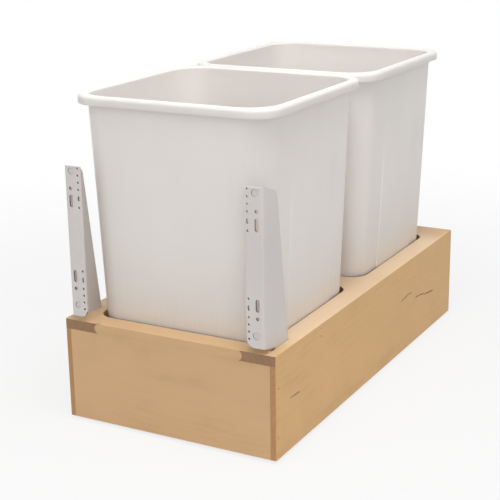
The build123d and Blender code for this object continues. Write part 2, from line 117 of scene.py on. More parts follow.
class Tree:
    """A node tree that is put together node by node."""

    def __init__(self, tree):
        self.tree = tree
        self.tree.nodes.clear()

    def node(self, kind, settings, sockets, output=0):
        """Adds a node with its settings and its sockets' values or links, and gives one output."""
        made = self.tree.nodes.new(kind)
        for name, setting in settings.items():
            if name == "stops":
                ramp = made.color_ramp
                while len(ramp.elements) < len(setting):
                    ramp.elements.new(0.5)
                for element, (position, colour) in zip(ramp.elements, setting):
                    element.position = position
                    element.color = (*colour, 1.0)
            else:
                setattr(made, name, setting)
        for name, value in sockets.items():
            for part in value if isinstance(value, list) else [value]:
                if isinstance(part, Value):
                    self.tree.links.new(part.socket, made.inputs[name])
                else:
                    made.inputs[name].default_value = part
        return Value(self, made.outputs[output]) if made.outputs else None

    def split(self, vector):
        """The three parts of a vector."""
        first = self.node("ShaderNodeSeparateXYZ", {}, {0: vector})
        return [Value(self, socket) for socket in first.socket.node.outputs]

    def join(self, x, y, z):
        """A vector from its three parts."""
        return self.node("ShaderNodeCombineXYZ", {}, {0: x, 1: y, 2: z})


class Finish(Tree):
    """One material."""

    def __init__(self, name):
        self.material = bpy.data.materials.new(name)
        self.material.use_nodes = True
        super().__init__(self.material.node_tree)
        self.place = self.node("ShaderNodeTexCoord", {}, {}, "Object")
        self.facing = self.place.other("Normal")

    def stretched(self, sizes, shift=(0.0, 0.0, 0.0)):
        """The place on the piece, measured in cells of the given sizes in millimetres."""
        scale = tuple(1 / (size * MM) for size in sizes)
        sockets = {"Vector": self.place, "Scale": scale, "Location": shift}
        return self.node("ShaderNodeMapping", {}, sockets)

    def noise(self, sizes, detail, roughness=0.5, shift=(0.0, 0.0, 0.0)):
        """Soft noise about 0.5 with cells of the given sizes."""
        sockets = {"Vector": self.stretched(sizes, shift), "Scale": 1.0, "Detail": detail,
                   "Roughness": roughness, "Distortion": 0.0}
        return self.node("ShaderNodeTexNoise", {}, sockets)

    def cells(self, sizes):
        """Distance to the nearest of many scattered points."""
        sockets = {"Vector": self.stretched(sizes), "Scale": 1.0, "Randomness": 1.0}
        return self.node("ShaderNodeTexVoronoi", {}, sockets, "Distance")

    def ramp(self, value, stops):
        return self.node("ShaderNodeValToRGB", {"stops": stops}, {"Fac": value})

    def blend(self, share, colour_a, colour_b, mode="MIX"):
        """Colour b laid over colour a by a share."""
        sockets = {0: share, 6: padded(colour_a), 7: padded(colour_b)}
        return self.node("ShaderNodeMix", {"data_type": "RGBA", "blend_type": mode}, sockets, 2)

    def bump(self, height, distance, strength, normal=None):
        """A surface normal raised by a height from 0 to 1 times a distance in millimetres."""
        sockets = {"Height": height, "Distance": distance * MM, "Strength": strength}
        if normal is not None:
            sockets["Normal"] = normal
        return self.node("ShaderNodeBump", {}, sockets)

    def eased(self, radius):
        """The normal as if sharp edges were rounded by a radius in millimetres."""
        return self.node("ShaderNodeBevel", {"samples": 4}, {"Radius": radius * MM})

    def surface(self, **sockets):
        """Ends the material in one principled shader."""
        named = {}
        for name, value in sockets.items():
            named[name.replace("_", " ")] = padded(value) if "Color" in name else value
        shader = self.node("ShaderNodeBsdfPrincipled", {}, named)
        self.node("ShaderNodeOutputMaterial", {}, {"Surface": shader})
        return self.material


def padded(value):
    """A plain colour with its fourth part added."""
    return (*value, 1.0) if isinstance(value, tuple) and len(value) == 3 else value


def tone(red, green, blue):
    """A colour read as 0 to 255 on screen, as the shader takes it."""
    parts = [part / 255 for part in (red, green, blue)]
    return tuple(part / 12.92 if part < 0.04045 else ((part + 0.055) / 1.055) ** 2.4
                 for part in parts)


# Finishes

maple_light, maple_dark = tone(218, 181, 133), tone(205, 166, 118)
maple_end, maple_lit_top = tone(170, 133, 98), tone(238, 212, 180)
check_brown = tone(62, 42, 28)
ring_width = 7.5  # millimetres from one year's ring to the next
# Where the painted light on the boards' upward faces starts and ends
lit_top_ends = (-268 * MM, 262 * MM)
deck_top = 128 * MM


def maple(name, along, across, heart, shade, end_share=1.0, marks=None, lit_top_stretch=None, flank=None):
    """Lacquered solid maple: faint rings round a heart line, and end grain where they are cut.

    The grain runs along one axis, and the board is wide across another. The heart is the place
    of the tree's middle in millimetres, seen along the grain. The lit top stretch is the stretch
    along the board whose top gets painted light, and flank is a tint of the board's narrow sides.
    """
    f = Finish(name)
    depth = 3 - along - across

    def sizes(run, width, thick):
        return tuple({along: run, across: width, depth: thick}[axis] for axis in range(3))

    def tinted(colour, share=1.0):
        return tuple(part * own * share for part, own in zip(colour, shade))

    place = f.split(f.place)
    warp = f.noise(sizes(520, 160, 160), 3)
    ripple = f.noise(sizes(110, 26, 26), 2, shift=(4.0, 2.0, 9.0))
    off_a = place[across] / MM - heart[0] + (warp - 0.5) * 90
    off_b = place[depth] / MM - heart[1] + (ripple - 0.5) * 5
    from_heart = (off_a * off_a + off_b * off_b) ** 0.5
    rings = (from_heart * (2 * math.pi / ring_width)).wave().rise(0.1, 1.0)
    broad = f.noise(sizes(460, 120, 120), 2, shift=(1.0, 7.0, 3.0))
    mottle = f.noise(sizes(60, 34, 34), 3, shift=(2.0, 5.0, 1.0))
    fibre = f.noise(sizes(46, 0.9, 0.9), 3, 0.6)
    flecks = f.noise(sizes(5.0, 0.6, 0.6), 1).rise(0.67, 0.74)
    grain = broad * 0.42 + mottle * 0.36 + fibre * 0.18 + (1 - rings) * 0.04
    stops = [(0.0, tinted(maple_dark)), (0.5, tinted(maple_light)),
             (1.0, tinted(maple_light, 1.05))]
    face = f.ramp(grain.rise(0.26, 0.74), stops)
    # Painted light: the upward faces are paler along a stretch between the board's ends, as where
    # the deck's top is lit between the bins.
    if lit_top_stretch:
        first, last = lit_top_stretch
        fade = 60 * MM
        pale = place[along].rise(first, first + fade) * place[along].rise(last, last - fade)
        upper = f.split(f.facing)[2].rise(0.3, 0.8)
        face = f.blend(pale * upper * (0.45 + broad * 0.5), face, maple_lit_top)
    face = f.blend(flecks * 0.14, face, tinted(maple_dark, 0.62))
    pores = f.noise((0.45, 0.45, 0.45), 2)
    stops = [(0.0, tinted(maple_end, end_share)), (1.0, tinted(maple_end, 0.82 * end_share))]
    cut = f.ramp((rings * 0.12 + pores * 0.5 + mottle * 0.38).rise(0.2, 0.75), stops)
    if flank:
        on_flank = abs(f.split(f.facing)[across]).rise(0.5, 0.8)
        face = f.blend(on_flank, face, f.blend(1.0, face, flank, "MULTIPLY"))
    on_end = abs(f.split(f.facing)[along]).rise(0.55, 0.75)
    colour = f.blend(on_end, face, cut)
    if marks:
        colour = f.blend(marks(f), colour, check_brown)
    height = fibre * 0.6 + flecks * -0.4 + on_end * pores * 0.8
    normal = f.bump(height, 0.05, 0.5, f.eased(0.5))
    rough = 0.44 + fibre * 0.10 + on_end * 0.2 + broad * 0.06
    return f.surface(Base_Color=colour, Roughness=rough, Normal=normal, Specular_IOR_Level=0.25,
                     Coat_Weight=0.05, Coat_Roughness=0.34)


def streak(f, start, end, width):
    """A mask of a thin line on the side board, between two places in Y and Z in millimetres."""
    y, z = f.split(f.place)[1:]
    (y0, z0), (y1, z1) = start, end
    length = math.dist(start, end)
    run_y, run_z = (y1 - y0) / length, (z1 - z0) / length
    dy, dz = y / MM - y0, z / MM - z0
    run = dy * run_y + dz * run_z
    off = abs(dy * -run_z + dz * run_y)
    inside = run.rise(0, 6) * run.rise(length, length - 6)
    return off.rise(width, width * 0.3) * inside


def dot(f, y0, z0, radius):
    """A mask of a small dark dot on the side board's face."""
    y, z = f.split(f.place)[1:]
    dy, dz = y / MM - y0, z / MM - z0
    return (dy * dy + dz * dz).rise(radius * radius, radius * radius * 0.2)


def side_marks(f):
    """Fine checks and mineral specks in the right-hand side board's face."""
    outer_face = f.split(f.place)[0] > 139 * MM
    lines = [((84, 77.5), (112, 79.5), 1.3), ((104, 80.5), (127, 79.0), 0.9),
             ((138, 68), (176, 63), 1.1), ((172, 61.5), (211, 57), 1.35),
             ((-247, 67), (-218, 65.5), 1.05)]
    dots = [(-163, 113, 1.2), (135, 98, 1.2), (83, 16, 1.1), (-274, 31, 1.0), (-272, 89, 1.0)]
    masks = [streak(f, *line) for line in lines] + [dot(f, *spot) for spot in dots]
    mask = masks[0]
    for another in masks[1:]:
        mask = mask.larger(another)
    broken = f.noise((3, 7, 3), 2, shift=(1.0, 6.0, 2.0)).rise(0.34, 0.5, 0.5, 1.0)
    return mask * broken * outer_face * 0.9


def moulded_white(name, colour, texture, shine=0.45, milky=0.4, gap_shade=0.0):
    """Injection moulded white plastic: a satin texture, slight flow tone, and painted shade near
    the deck.

    Gap shade is how dark the painted shade is on the wall just below the deck's top, where the bin
    passes through the deck.
    """
    f = Finish(name)
    z = f.split(f.place)[2]
    flow = f.noise((180, 180, 260), 2)
    cloud = f.noise((46, 46, 90), 3, shift=(3.0, 1.0, 5.0))
    speckle = f.noise((0.7, 0.7, 0.7), 2)
    drags = f.noise((3.0, 3.0, 120), 2, shift=(7.0, 2.0, 0.0))
    slightly_dark = tuple(part * 0.97 for part in colour)
    base = f.blend((flow * 0.55 + cloud * 0.45).rise(0.35, 0.68), slightly_dark, colour)
    # Painted shade: the wall turns darker and duller towards the deck, streaked by drag marks.
    low_shade_colour = tuple(part * share for part, share in zip(colour, (0.80, 0.77, 0.73)))
    low_shade = z.rise(250 * MM, 120 * MM) * (0.42 + drags * 0.36)
    base = f.blend(low_shade, base, low_shade_colour)
    # Painted shade: a dark, streaked line on the wall just below the deck's top, in the gap round
    # the bin.
    below_top = z.rise(deck_top + 0.6 * MM, deck_top - 0.4 * MM)
    gap_shade_line = below_top * z.rise(deck_top - 7.5 * MM, deck_top - 2.5 * MM)
    base = f.blend(gap_shade_line * (0.2 + drags * 0.8) * gap_shade, base, tone(104, 88, 72))
    normal = f.bump(speckle * 0.6 + drags * 0.4, 0.03, texture)
    rough = 0.34 + speckle * 0.08 + drags * 0.08
    return f.surface(Base_Color=base, Roughness=rough, Normal=normal, Specular_IOR_Level=shine,
                     Subsurface_Weight=milky, Subsurface_Radius=(1.0, 1.0, 0.98),
                     Subsurface_Scale=14 * MM)


def powder_coat(name, colour):
    """Light grey powder coat: orange peel, specks, and painted shade on the walls of the flange's
    holes.
    """
    f = Finish(name)
    peel = f.noise((1.7, 1.7, 1.7), 2)
    fine = f.noise((0.35, 0.35, 0.35), 1)
    tint = f.noise((60, 60, 90), 2)
    specks = f.cells((2.6, 2.6, 2.6)).rise(0.10, 0.04)
    base = f.blend(tint.rise(0.3, 0.7), tuple(c * 0.955 for c in colour), colour)
    base = f.blend(specks * 0.35, base, tuple(c * 0.8 for c in colour))
    # Painted shade on the walls of the holes punched through the front flanges.
    x, y, z = f.split(f.place)
    across = (abs(x) < 126 * MM) * (abs(x) > 106.3 * MM)
    in_flange = (y < -279 * MM) * across * (z > 137 * MM) * (z < 313 * MM)
    hole_wall_shade = in_flange * abs(f.split(f.facing)[1]).rise(0.8, 0.4)
    base = f.blend(hole_wall_shade * 0.9, base, tone(70, 62, 56))
    normal = f.bump(peel * 0.8 + fine * 0.2, 0.05, 0.4, f.eased(0.5))
    rough = 0.38 + peel * 0.14
    return f.surface(Base_Color=base, Roughness=rough, Normal=normal, Specular_IOR_Level=0.5)


def zinc_plate(name, colour):
    """Zinc plated steel: faint spangle, drawn lines along the piece, darker smudges."""
    f = Finish(name)
    drawn = f.noise((0.5, 60, 0.5), 3)
    spangle = f.cells((6, 9, 6))
    smudge = f.noise((22, 40, 22), 3)
    base = f.blend(spangle.rise(0.1, 0.8), tuple(c * 0.90 for c in colour), colour)
    base = f.blend(smudge.rise(0.52, 0.75) * 0.35, base, tuple(c * 0.66 for c in colour))
    normal = f.bump(drawn, 0.02, 0.35, f.eased(0.2))
    rough = 0.24 + drawn * 0.14 + smudge * 0.10
    return f.surface(Base_Color=base, Roughness=rough, Metallic=1.0, Normal=normal)


def bright_metal(name, colour, rough):
    """Bare metal with fine turning marks."""
    f = Finish(name)
    turned = f.noise((0.4, 0.4, 0.4), 2)
    base = f.blend(turned, tuple(c * 0.86 for c in colour), colour)
    normal = f.bump(turned, 0.01, 0.2)
    return f.surface(Base_Color=base, Roughness=turned * 0.10 + rough, Metallic=1.0, Normal=normal)


def dark_moulding(name, colour, rough, grain):
    """Black rubber or plastic with a fine pitted grain."""
    f = Finish(name)
    pits = f.cells((grain, grain, grain))
    dust = f.noise((8, 8, 8), 3)
    base = f.blend(dust.rise(0.5, 0.8) * 0.5, colour, tuple(c * 1.9 + 0.01 for c in colour))
    return f.surface(Base_Color=base, Roughness=dust * 0.16 + rough, Normal=f.bump(pits, 0.04, 0.5))


def pale_floor():
    """A white sweep that keeps a soft shadow near the object and shows white to the camera."""
    f = Finish("white_sweep")
    away = f.node("ShaderNodeVectorMath", {"operation": "LENGTH"}, {0: f.place}, "Value")
    base = f.blend(f.noise((900, 900, 900), 1), (0.70, 0.70, 0.70), (0.72, 0.72, 0.72))
    diffuse = f.node("ShaderNodeBsdfDiffuse", {}, {"Color": base})
    glow = f.node("ShaderNodeEmission", {}, {"Color": (1.0, 1.0, 1.0, 1.0), "Strength": 1.0})
    path = f.node("ShaderNodeLightPath", {}, {}, "Is Camera Ray")
    seen = path.larger(path.other("Is Glossy Ray"))
    share = seen * away.rise(0.35, 1.3, 0.80, 1.0)
    both = f.node("ShaderNodeMixShader", {}, {0: share, 1: diffuse, 2: glow})
    f.node("ShaderNodeOutputMaterial", {}, {"Surface": both})
    return f.material


# Bins

# The order of a bin's materials, three with painted light and shade, and the faces of half a ring
# that edge its side panel and wear the painted highlight
outside_part, lit_inside_part, edge_highlight_part, shaded_lip_part = range(4)
panel_edge_faces = (1, 6)

rim_width, rim_depth, rim_corner = 258 * MM, 256 * MM, 32 * MM
body_width, body_depth, body_corner = 244 * MM, 246 * MM, 38 * MM
bin_foot, bin_top = 53 * MM, 394 * MM
bin_lean = math.tan(math.radians(2.4))
bin_wall, bin_floor = 2.4 * MM, 3.0 * MM
foot_radius, floor_radius = 7 * MM, 4.6 * MM
foot_recess = 1.2 * MM
lip_height, lip_wall, lip_radius, mouth_radius = 11 * MM, 2.2 * MM, 4.6 * MM, 2 * MM
lip_underside = bin_top - 2.6 * MM

# The heights of the wall's rings in millimetres, up the outside and down the inside
wall_heights = [61, 64, 67, 90, 120, 150, 180, 206, 210, 214, 218, 222, 226, 230, 234, 260, 290,
                298, 306, 314, 324, 350, 378, 388]
inside_heights = [385, 360, 320, 260, 200, 140, 90, 66]


def ring(width, depth, corner, z, panel, proud=0.0):
    """A rounded rectangle of points, running left seen from above, with a panel on each side."""
    half_x, half_y = width / 2, depth / 2
    straight = half_y - corner
    edge = 1.5 * MM
    steps = [-straight, -panel - edge, -panel, -panel / 2, 0,
             panel / 2, panel, panel + edge, straight]
    side = [(half_x + (proud if abs(y) <= panel else 0.0), y) for y in steps]
    turn = [math.radians(90 * step / 12) for step in range(1, 12)]
    bend = [(half_x - corner + corner * math.cos(a), half_y - corner + corner * math.sin(a))
            for a in turn]
    run = half_x - corner
    end = [(run * share, half_y) for share in (1, 0.5, 0, -0.5, -1)]
    back_bend = [(-x, y) for x, y in reversed(bend)]
    half = side + bend + end + back_bend
    return [Vector((x, y, z)) for x, y in half] + [Vector((-x, -y, z)) for x, y in half]


def body_ring(z, inset, panel, proud=0.0):
    """The bin's outline at a height, drawn in by the draft."""
    drawn = inset + (bin_top - z) * bin_lean
    corner = max(body_corner - drawn, 2 * MM)
    return ring(body_width - 2 * drawn, body_depth - 2 * drawn, corner, z, panel, proud)


def panel_edge(z):
    """Half the side panel's length: it steps out a little below the middle of the wall."""
    share = min(1, max(0, (240 * MM - z) / (120 * MM)))
    return (54 + 3 * share) * MM


def panel_rise(z):
    """How far the side panel stands proud: it fades out upwards and ends above the foot."""
    upper = min(1, max(0, (324 * MM - z) / (60 * MM)))
    lower = min(1, max(0, (z - 60 * MM) / (6 * MM)))
    return 1.3 * MM * min(upper, lower)


def rim_ring(inset, z):
    """The lip's outline at a height, drawn in by an inset."""
    return ring(rim_width - 2 * inset, rim_depth - 2 * inset, rim_corner - inset, z,
                panel_edge(bin_top))


def quarter(steps):
    """The angles of a quarter turn, in equal steps."""
    return [math.radians(90 * step / steps) for step in range(steps + 1)]


def foot_and_wall_rings():
    """From the middle of the recessed underside, round the foot and up the wall to the lip."""
    rings = []
    foot_panel = panel_edge(bin_foot)
    for inset, lift in ((30 * MM, foot_recess), (14 * MM, foot_recess), (12.6 * MM, 0.0)):
        rings.append(body_ring(bin_foot, inset, foot_panel))
        for point in rings[-1]:
            point.z += lift
    for angle in quarter(6):
        inset = foot_radius * (1 - math.sin(angle))
        rings.append(body_ring(bin_foot + foot_radius * (1 - math.cos(angle)), inset, foot_panel))
    for z in (height * MM for height in wall_heights):
        rings.append(body_ring(z, 0, panel_edge(z), panel_rise(z)))
    rings.append(body_ring(lip_underside - 1.2 * MM, -0.1 * MM, panel_edge(bin_top)))
    rings.append(body_ring(lip_underside, -1.4 * MM, panel_edge(bin_top)))
    return rings


def lip_rings():
    """Out under the lip, down inside its skirt, up its front and over into the bin's mouth."""
    skirt = bin_top - lip_height
    rings = [rim_ring(lip_wall + 0.5 * MM, lip_underside),
             rim_ring(lip_wall, lip_underside - 1 * MM), rim_ring(lip_wall, skirt + 0.5 * MM),
             rim_ring(lip_wall - 0.4 * MM, skirt), rim_ring(0.6 * MM, skirt),
             rim_ring(0.15 * MM, skirt + 0.2 * MM), rim_ring(0, skirt + 0.7 * MM)]
    for angle in quarter(8):
        inset = lip_radius * (1 - math.cos(angle))
        rings.append(rim_ring(inset, bin_top - lip_radius * (1 - math.sin(angle))))
    for angle in quarter(5):
        inset = bin_wall - mouth_radius * math.sin(math.pi / 2 - angle)
        z = bin_top - mouth_radius * (1 - math.cos(angle))
        rings.append(body_ring(z, inset, panel_edge(bin_top)))
    return rings


def inside_rings():
    """Down the inside of the wall and round to the middle of the bin's floor."""
    panel = panel_edge(bin_top)
    low = bin_foot + bin_floor
    rings = [body_ring(height * MM, bin_wall, panel) for height in inside_heights]
    for angle in quarter(5):
        inset = bin_wall + floor_radius * (1 - math.cos(angle))
        rings.append(body_ring(low + floor_radius * (1 - math.sin(angle)), inset, panel))
    rings.append(body_ring(low, 20 * MM, panel))
    return rings


def bin_rings():
    """Every ring of the bin's skin, and the places in the row where its lip and inside start."""
    outer, lip, inner = foot_and_wall_rings(), lip_rings(), inside_rings()
    return outer + lip + inner, len(outer), len(outer) + len(lip) - 1


def skin(name, rings, centre, lip_start, inside_start):
    """A closed skin over a row of rings, with a material for each of its four parts."""
    mesh = bmesh.new()
    rows = [[mesh.verts.new(point + centre) for point in row] for row in rings]
    half = len(rings[0]) // 2
    for place, (lower, upper) in enumerate(zip(rows, rows[1:])):
        for index, corner in enumerate(lower):
            after = (index + 1) % len(lower)
            face = mesh.faces.new((corner, lower[after], upper[after], upper[index]))
            # Faces at the ends of the side panels wear the painted highlight.
            on_edge = index % half in panel_edge_faces and 60 * MM < corner.co.z < 320 * MM
            outer = shaded_lip_part if place >= lip_start else edge_highlight_part if on_edge else outside_part
            face.material_index = lit_inside_part if place >= inside_start else outer
    mesh.faces.new(list(reversed(rows[0])))
    mesh.faces.new(rows[-1]).material_index = lit_inside_part
    return piece(name, mesh)


def piece(name, mesh, sharp=32):
    """Turns a bmesh into a named object with smooth faces and sharp creases."""
    bmesh.ops.recalc_face_normals(mesh, faces=mesh.faces)
    data = bpy.data.meshes.new(name)
    mesh.to_mesh(data)
    mesh.free()
    data.shade_smooth()
    data.set_sharp_from_angle(angle=math.radians(sharp))
    made = bpy.data.objects.new(name, data)
    bpy.context.scene.collection.objects.link(made)
    return made


def wear(made, *finishes):
    """Gives a piece its materials."""
    made.data.materials.clear()
    for finish in finishes:
        made.data.materials.append(finish)


def moulded_bins(whites):
    """The two bins as finely moulded shells in place of the plain ones."""
    rings, lip_start, inside_start = bin_rings()
    for name in ("front_bin", "rear_bin"):
        low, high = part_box(name)
        centre = Vector((0, (low.y + high.y) / 2, 0))
        shell = skin(name + "_shell", rings, centre, lip_start, inside_start)
        wear(shell, *whites)
        settle(shell, name, "white_plastic", name)


def settle(made, body, slot, *nodes):
    """Ties a finished piece to its body and hides the plain nodes that it stands for. The slot is
    not used.
    """
    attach(made, body)
    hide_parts(*nodes)


# Fasteners, laid out by geometry nodes

class Layout(Tree):
    """A geometry node tree with named inputs."""

    def __init__(self, name, **inputs):
        super().__init__(bpy.data.node_groups.new(name, "GeometryNodeTree"))
        ends = self.tree.interface
        ends.new_socket("Geometry", in_out="INPUT", socket_type="NodeSocketGeometry")
        for label, kind in inputs.items():
            ends.new_socket(label, in_out="INPUT", socket_type="NodeSocket" + kind)
        ends.new_socket("Geometry", in_out="OUTPUT", socket_type="NodeSocketGeometry")
        start = self.node("NodeGroupInput", {}, {}).socket.node
        self.given = {socket.name: Value(self, socket) for socket in start.outputs if socket.name}

    def turned(self, count, radius, height, sides):
        """A solid turned on the Z axis, from a radius and a height at each of its steps."""
        sockets = {"Count": count, "Offset": (0, 0, 0.001)}
        line = self.node("GeometryNodeMeshLine", {"mode": "OFFSET"}, sockets)
        axis = self.node("GeometryNodeMeshToCurve", {}, {"Mesh": line})
        sockets = {"Geometry": axis, "Position": self.join(0.0, 0.0, height)}
        axis = self.node("GeometryNodeSetPosition", {}, sockets)
        axis = self.node("GeometryNodeSetCurveRadius", {}, {"Curve": axis, "Radius": radius})
        sockets = {"Resolution": sides, "Radius": 1.0}
        outline = self.node("GeometryNodeCurvePrimitiveCircle", {"mode": "RADIUS"}, sockets)
        sockets = {"Curve": axis, "Profile Curve": outline, "Fill Caps": True}
        made = self.node("GeometryNodeCurveToMesh", {}, sockets)
        # Where this socket exists, it takes the place of the curve's own radius.
        if "Scale" in made.socket.node.inputs:
            self.tree.links.new(radius.socket, made.socket.node.inputs["Scale"])
        return made

    def domed_head(self, count, sweep, rim_share):
        """A fastener's head: a short straight rim, then a dome that turns through a sweep."""
        head_radius, head_height = self.given["Head_Radius"], self.given["Head_Height"]
        step = self.node("GeometryNodeInputIndex", {}, {})
        angle = (step - 1).larger(0.0) * math.radians(sweep / (count - 2))
        rim = head_height * rim_share
        rise = (head_height - rim) * angle.wave() * (1 / math.sin(math.radians(sweep)))
        radius = head_radius * (angle + math.pi / 2).wave() * (1 - 0.05 * (step < 0.5))
        return self.turned(count, radius, (step > 0.5) * (rim + rise), 24)

    def shank(self, count, width_at, sides):
        """A fastener's shank down from its head, with a radius that follows its length."""
        share = self.node("GeometryNodeInputIndex", {}, {}) * (1 / (count - 1))
        height = share * self.given["Shank_Length"] * -1
        return self.turned(count, width_at(share), height, sides)

    def moved(self, geometry, place):
        """A piece at another place."""
        sockets = {"Geometry": geometry, "Translation": place}
        return self.node("GeometryNodeTransform", {}, sockets)

    def cut(self, solid, tools):
        """A solid less its tools."""
        sockets = {0: solid, 1: tools}
        return self.node("GeometryNodeMeshBoolean", {"operation": "DIFFERENCE"}, sockets)

    def laid_out(self, pieces):
        """The pieces at every point of the given mesh, along each point's aim, as one mesh."""
        settings = {"data_type": "FLOAT_VECTOR"}
        aim = self.node("GeometryNodeInputNamedAttribute", settings, {"Name": "aim"})
        turn = self.node("FunctionNodeAlignRotationToVector", {"axis": "Z"}, {"Vector": aim})
        sockets = {"Min": 0.0, "Max": 2 * math.pi, "Seed": 7}
        chance = self.node("FunctionNodeRandomValue", {"data_type": "FLOAT"}, sockets, 1)
        sockets = {"Axis": (0, 0, 1), "Angle": chance}
        own = self.node("FunctionNodeAxisAngleToRotation", {}, sockets)
        sockets = {"Rotation": turn, "Rotate By": own}
        turn = self.node("FunctionNodeRotateRotation", {"rotation_space": "LOCAL"}, sockets)
        whole = self.node("GeometryNodeJoinGeometry", {}, {"Geometry": pieces})
        sockets = {"Points": self.given["Geometry"], "Instance": whole, "Rotation": turn}
        placed = self.node("GeometryNodeInstanceOnPoints", {}, sockets)
        real = self.node("GeometryNodeRealizeInstances", {}, {"Geometry": placed})
        sockets = {"Geometry": real, "Material": self.given["Finish"]}
        worn = self.node("GeometryNodeSetMaterial", {}, sockets)
        self.node("NodeGroupOutput", {}, {"Geometry": worn})
        return self.tree


fastener_sizes = {"Head_Radius": "Float", "Head_Height": "Float", "Shank_Radius": "Float",
                  "Shank_Length": "Float", "Finish": "Material"}


def screw_layout():
    """Pan head screws with a cross recess, a tapered core and a thread."""
    g = Layout("pan_head_screws", **fastener_sizes)
    head_radius, head_height = g.given["Head_Radius"], g.given["Head_Height"]
    shank_radius, shank_length = g.given["Shank_Radius"], g.given["Shank_Length"]
    head = g.domed_head(count=8, sweep=80, rim_share=0.35)
    top = g.join(0.0, 0.0, head_height)
    bars = []
    for long_side in (1, 0):
        spans = [head_radius * 0.24, head_radius * 0.24, head_height]
        spans[long_side] = head_radius * 1.05
        bar = g.node("GeometryNodeMeshCube", {}, {"Size": g.join(*spans)})
        bars.append(g.moved(bar, top))
    head = g.cut(head, bars)

    def core_width(share):
        return shank_radius * 0.72 * share.rise(0.70, 1.0, 1.0, 0.12)

    core = g.shank(count=8, width_at=core_width, sides=14)
    sockets = {"Resolution": 14, "Rotations": 6.0, "Start Radius": shank_radius * 0.76,
               "End Radius": shank_radius * 0.62, "Height": shank_length * 0.74}
    helix = g.node("GeometryNodeCurveSpiral", {}, sockets)
    sockets = {"Resolution": 3, "Radius": shank_radius * 0.22}
    ridge = g.node("GeometryNodeCurvePrimitiveCircle", {"mode": "RADIUS"}, sockets)
    sockets = {"Curve": helix, "Profile Curve": ridge, "Fill Caps": True}
    thread = g.node("GeometryNodeCurveToMesh", {}, sockets)
    thread = g.moved(thread, g.join(0.0, 0.0, shank_length * -0.84))
    return g.laid_out([head, core, thread])


def rivet_layout():
    """Domed rivets, with a dimple where the mandrel broke off."""
    g = Layout("domed_rivets", **fastener_sizes)
    head_radius, head_height = g.given["Head_Radius"], g.given["Head_Height"]
    sockets = {"Vertices": 12, "Radius": head_radius * 0.24, "Depth": head_height}
    mandrel = g.node("GeometryNodeMeshCylinder", {}, sockets, "Mesh")
    mandrel = g.moved(mandrel, g.join(0.0, 0.0, head_height))
    head = g.cut(g.domed_head(count=9, sweep=72, rim_share=0.25), mandrel)

    def shank_width(share):
        return g.given["Shank_Radius"] * share.rise(0.8, 1.0, 1.0, 0.86)

    shank = g.shank(count=6, width_at=shank_width, sides=16)
    return g.laid_out([head, shank])


def solids_of(node):
    """The box of each separate solid in a node, as its lowest and highest corners."""
    copy = bmesh.new()
    copy.from_mesh(frame["nodes"][node].data)
    bmesh.ops.remove_doubles(copy, verts=copy.verts, dist=0.002 * MM)
    boxes, waiting = [], set(copy.verts)
    while waiting:
        found, edge = set(), [waiting.pop()]
        while edge:
            corner = edge.pop()
            found.add(corner)
            for side in corner.link_edges:
                beyond = side.other_vert(corner)
                if beyond in waiting:
                    waiting.remove(beyond)
                    edge.append(beyond)
        spots = [corner.co for corner in found]
        low = Vector([min(spot[axis] for spot in spots) for axis in range(3)])
        high = Vector([max(spot[axis] for spot in spots) for axis in range(3)])
        boxes.append((low, high))
    copy.free()
    return sorted(boxes, key=lambda box: tuple(box[0]))


def upright_place(low, high, head_height):
    """Where a fastener with its head up sits: its spot, aim, shank length and head radius."""
    spot = ((low.x + high.x) / 2, (low.y + high.y) / 2, high.z - head_height)
    return spot, (0.0, 0.0, 1.0), high.z - low.z - head_height, (high.x - low.x) / 2


def inward_place(low, high, head_height):
    """The same for a fastener whose head faces the middle of the frame."""
    outward = 1 if low.x + high.x > 0 else -1
    inner = min(abs(low.x), abs(high.x))
    spot = (outward * (inner + head_height), (low.y + high.y) / 2, (low.z + high.z) / 2)
    return spot, (-outward, 0.0, 0.0), high.x - low.x - head_height, (high.z - low.z) / 2


def aimed_points(name, spots, aims):
    """An object of loose points, each with the way that its fastener's head faces."""
    places = bpy.data.meshes.new(name)
    places.from_pydata(spots, [], [])
    aimed = places.attributes.new("aim", "FLOAT_VECTOR", "POINT")
    aimed.data.foreach_set("vector", [part for aim in aims for part in aim])
    stand = bpy.data.objects.new(name, places)
    bpy.context.scene.collection.objects.link(stand)
    return stand


def grown(stand, layout, values):
    """The plain mesh that a layout makes on an object, which is then removed."""
    pattern = stand.modifiers.new("layout", "NODES")
    pattern.node_group = layout
    for item in layout.interface.items_tree:
        if item.name in values:
            pattern[item.identifier] = values[item.name]
    evaluated = stand.evaluated_get(bpy.context.evaluated_depsgraph_get())
    plain = bpy.data.meshes.new_from_object(evaluated)
    stand.modifiers.remove(pattern)
    bpy.data.objects.remove(stand)
    mesh = bmesh.new()
    mesh.from_mesh(plain)
    bpy.data.meshes.remove(plain)
    return mesh


def fasteners(node, body, slot, layout, finish, head_height, shank_radius, placed=inward_place):
    """Detailed fasteners in place of a node's plain ones."""
    rows = [placed(low, high, head_height) for low, high in solids_of(node)]
    spots, aims, shank_lengths, head_radii = zip(*rows)
    values = {"Head_Radius": head_radii[-1], "Head_Height": head_height,
              "Shank_Radius": shank_radius, "Shank_Length": shank_lengths[-1], "Finish": finish}
    mesh = grown(aimed_points(node + "_places", spots, aims), layout, values)
    made = piece(node + "_detail", mesh, sharp=38)
    wear(made, finish)
    settle(made, body, slot, node)


def all_fasteners(finishes):
    """The detailed screws and rivets, with heads and shanks, in place of the plain ones."""
    screw = {"body": "frame", "slot": "zinc_steel", "layout": screw_layout(),
             "finish": finishes["zinc_steel"], "head_height": 1.2 * MM, "shank_radius": 1.8 * MM}
    rivet = {"body": "base", "slot": "rivet_aluminium", "layout": rivet_layout(),
             "finish": finishes["rivet_aluminium"], "head_height": 1.1 * MM,
             "shank_radius": 2.0 * MM}
    fasteners("bracket_screws", **screw)
    fasteners("frame_rail_screws", **screw)
    fasteners("rail_rivets", **rivet)
    fasteners("spreader_rivets", **rivet, placed=upright_place)


# Camera, light and floor

